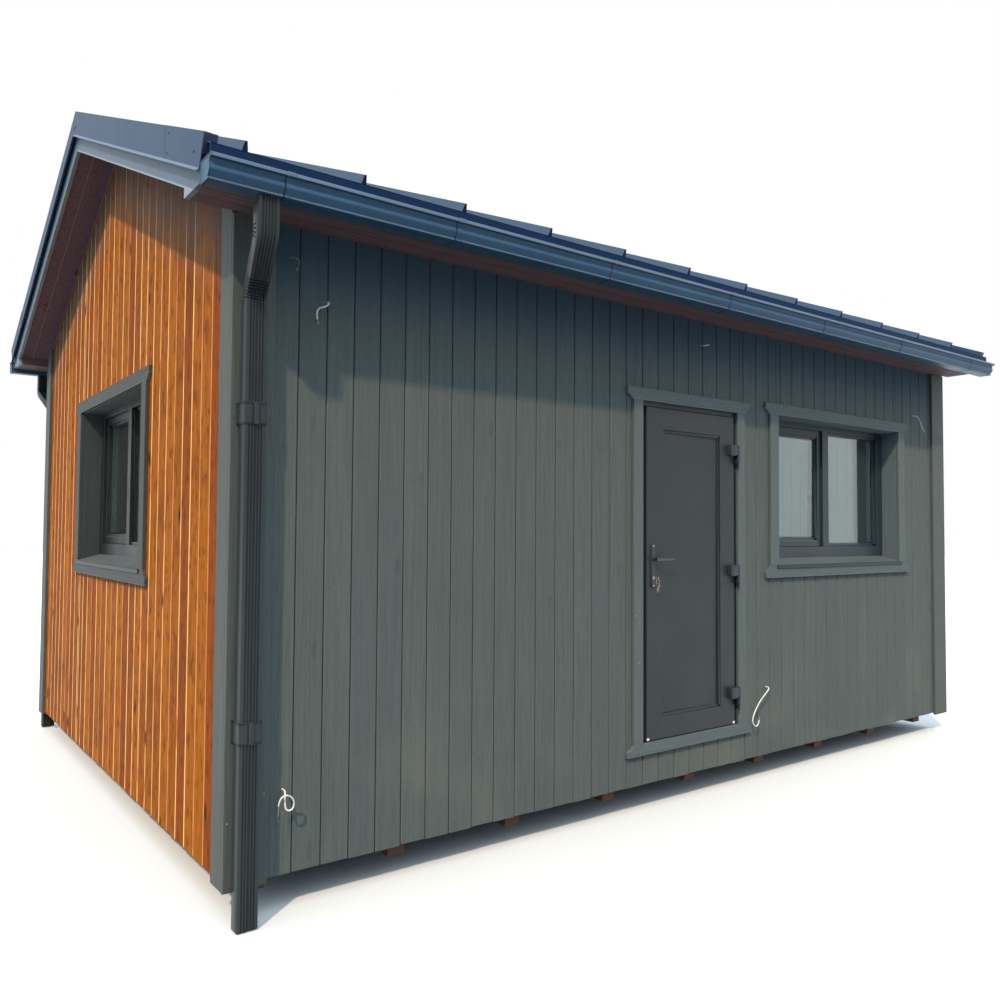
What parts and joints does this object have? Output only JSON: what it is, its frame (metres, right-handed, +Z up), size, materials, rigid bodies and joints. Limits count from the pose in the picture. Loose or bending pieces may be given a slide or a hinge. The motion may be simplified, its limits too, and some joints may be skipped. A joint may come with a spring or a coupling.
{
  "type": "timber studio house with a gabled metal roof",
  "caption": "Hollow timber studio house with board-clad walls, a low gabled standing-seam roof, gutters and downpipes, wide windows and a hinged door with a turning lever handle.",
  "frame": {"origin": "centre of the base on the ground", "axes": "+X along the front from left to right, +Y from the front to the back, +Z up"},
  "size_m": [6.509, 5.207, 4.241],
  "materials": {
    "concrete": "rough cast",
    "bearer_wood": "brown stained timber",
    "floor_wood": "planed boards",
    "wall_lining": "planed boards",
    "dark_boards": "matt anthracite paint",
    "brown_boards": "brown stain",
    "soffit_wood": "dark brown stain",
    "roof_metal": "matt graphite coating",
    "grey_metal": "pale grey coating",
    "door_plastic": "fine grained anthracite foil",
    "dark_metal": "dark coating",
    "handle_metal": "satin dark grey",
    "key_metal": "bare metal",
    "glass": "clear double glazing",
    "white_plastic": "white"
  },
  "bodies": {
    "house": {"foundation_blocks": "concrete", "floor_bearers": "bearer_wood", "floor_platform": "floor_wood", "front_wall_panels": "wall_lining", "front_wall_infills": "wall_lining", "back_wall": "wall_lining", "left_wall_panels": "wall_lining", "left_wall_infills": "wall_lining", "right_wall": "wall_lining", "front_cladding": "dark_boards", "back_cladding": "dark_boards", "left_cladding": "brown_boards", "right_cladding": "brown_boards", "corner_boards": "dark_boards", "front_roof_deck": "wall_lining", "back_roof_deck": "wall_lining", "front_roof_sheet": "roof_metal", "back_roof_sheet": "roof_metal", "front_eave_soffit": "soffit_wood", "back_eave_soffit": "soffit_wood", "front_fascia": "soffit_wood", "back_fascia": "soffit_wood", "front_gutter": "roof_metal", "back_gutter": "roof_metal", "front_downpipe": "roof_metal", "back_downpipe": "roof_metal", "left_gable_soffit": "soffit_wood", "right_gable_soffit": "soffit_wood", "left_barge_boards": "grey_metal", "right_barge_boards": "grey_metal", "left_barge_flashings": "roof_metal", "right_barge_flashings": "roof_metal", "ridge_cap": "roof_metal", "gutter_straps": "roof_metal", "downpipe_clips": "roof_metal", "door_frame": "door_plastic", "door_trim": "dark_boards", "door_hinge_feet": "dark_metal", "window_casings": "dark_boards", "window_linings": "dark_boards", "window_sills": "roof_metal", "window_frames": "door_plastic", "window_sashes": "door_plastic", "window_panes": "glass", "window_handles": "white_plastic", "cable_tail_1": "white_plastic", "cable_tail_2": "white_plastic", "cable_tail_3": "white_plastic", "cable_tail_4": "white_plastic", "cable_tail_5": "white_plastic", "cable_tail_6": "white_plastic"},
    "door": {"door_leaf": "door_plastic", "door_panel": "door_plastic", "door_hinge_barrels": "dark_metal", "door_handle_plates": "handle_metal", "door_lock_cylinder": "key_metal"},
    "lever": {"door_lever": "handle_metal"}
  },
  "joints": [
    {"name": "door_swing", "type": "hinge", "parent": "house", "child": "door", "pos_m": [0.3558, -2.228, 1.38], "axis": [0, 0, 1], "range_deg": [0, 150]},
    {"name": "lever_turn", "type": "hinge", "parent": "door", "child": "lever", "pos_m": [-0.4322, -2.167, 1.49], "axis": [0, 1, 0], "range_deg": [0, 45], "stiffness_Nm_per_rad": 0.8, "springref_deg": -34.38}
  ]
}
